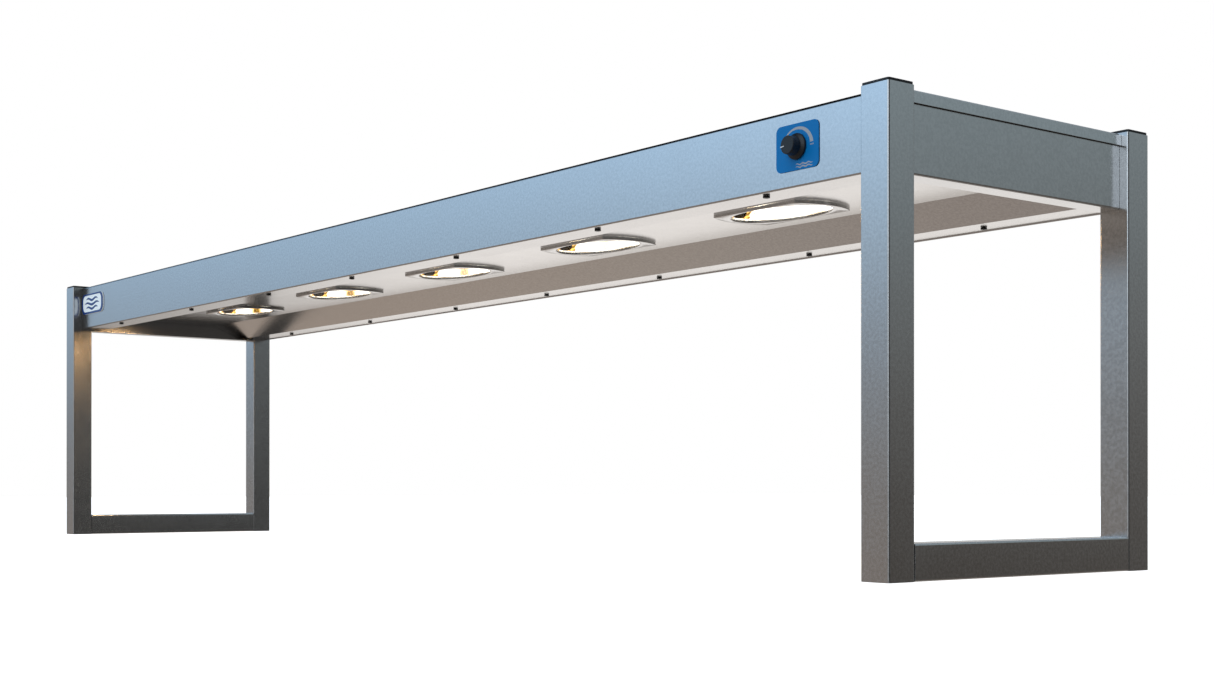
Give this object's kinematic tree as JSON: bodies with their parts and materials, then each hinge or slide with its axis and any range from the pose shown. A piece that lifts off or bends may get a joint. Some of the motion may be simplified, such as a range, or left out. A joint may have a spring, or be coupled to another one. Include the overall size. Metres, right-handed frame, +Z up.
{
  "type": "heated gantry",
  "caption": "Free-standing heated gantry: a long satin-steel housing on open end frames, with halogen heat lamps recessed in its underside and a dimmer knob on its front.",
  "frame": {"origin": "on the supporting surface, at the middle of the rectangle that the four legs' outer faces make", "axes": "+X along the gantry to the right, as a person facing the dimmer sees it; +Y from that person towards the back; +Z up"},
  "size_m": [2.024, 0.394, 0.4538],
  "materials": {
    "frame_steel": "satin stainless square tube, very fine grain",
    "housing_steel": "satin stainless sheet, very fine grain",
    "tray_steel": "satin stainless sheet, softly reflecting at a low angle",
    "bezel_steel": "smooth pressed stainless",
    "lamp_glass": "clear heat-resistant glass",
    "reflector": "bright anodised, strongly reflecting",
    "quartz": "clear quartz that glows warm white when lit",
    "ceramic": "matt white ceramic",
    "black_plastic": "moulded black plastic, slight sheen",
    "black_steel": "blackened steel",
    "dial_film": "printed blue film with a pale scale",
    "knob_plastic": "moulded black plastic, slight sheen",
    "pointer_paint": "white inlay",
    "plated_brass": "nickel-plated brass",
    "grey_plastic": "moulded grey plastic",
    "terminal_ceramic": "matt white ceramic",
    "wire_sleeve": "silicone sleeving",
    "rubber": "black rubber",
    "badge_enamel": "pale enamel with a blue border and plain blue waves"
  },
  "bodies": {
    "gantry": {"leg_front_right": "frame_steel", "leg_front_left": "frame_steel", "leg_rear_right": "frame_steel", "leg_rear_left": "frame_steel", "base_rail_right": "frame_steel", "base_rail_left": "frame_steel", "front_panel": "housing_steel", "rear_panel": "housing_steel", "top_cover": "housing_steel", "end_panel_right": "housing_steel", "end_panel_left": "housing_steel", "lamp_tray": "tray_steel", "tray_side_front": "tray_steel", "tray_side_rear": "tray_steel", "bezel_1": "bezel_steel", "bezel_2": "bezel_steel", "bezel_3": "bezel_steel", "bezel_4": "bezel_steel", "bezel_5": "bezel_steel", "lamp_glass_1": "lamp_glass", "lamp_glass_2": "lamp_glass", "lamp_glass_3": "lamp_glass", "lamp_glass_4": "lamp_glass", "lamp_glass_5": "lamp_glass", "reflector_1": "reflector", "reflector_2": "reflector", "reflector_3": "reflector", "reflector_4": "reflector", "reflector_5": "reflector", "halogen_tube_1": "quartz", "halogen_tube_2": "quartz", "halogen_tube_3": "quartz", "halogen_tube_4": "quartz", "halogen_tube_5": "quartz", "lamp_holder_1": "ceramic", "lamp_holder_2": "ceramic", "lamp_holder_3": "ceramic", "lamp_holder_4": "ceramic", "lamp_holder_5": "ceramic", "leg_cap_front_right": "black_plastic", "leg_cap_front_left": "black_plastic", "leg_cap_rear_right": "black_plastic", "leg_cap_rear_left": "black_plastic", "foot_plug_front_right": "black_plastic", "foot_plug_front_left": "black_plastic", "foot_plug_rear_right": "black_plastic", "foot_plug_rear_left": "black_plastic", "tray_screws_front": "black_steel", "tray_screws_rear": "black_steel", "dial_plate": "dial_film", "dimmer_nut": "plated_brass", "dimmer_body": "grey_plastic", "terminal_block": "terminal_ceramic", "wiring_loom": "wire_sleeve", "cable_grommet": "rubber", "badge": "badge_enamel"},
    "dimmer_knob": {"dimmer_knob": "knob_plastic", "knob_pointer": "pointer_paint", "dimmer_shaft": "plated_brass"}
  },
  "joints": [
    {"name": "dimmer_turn", "type": "hinge", "parent": "gantry", "child": "dimmer_knob", "pos_m": [0.8816, -0.19, 0.4132], "axis": [0, 1, 0], "range_deg": [0, 198]}
  ]
}
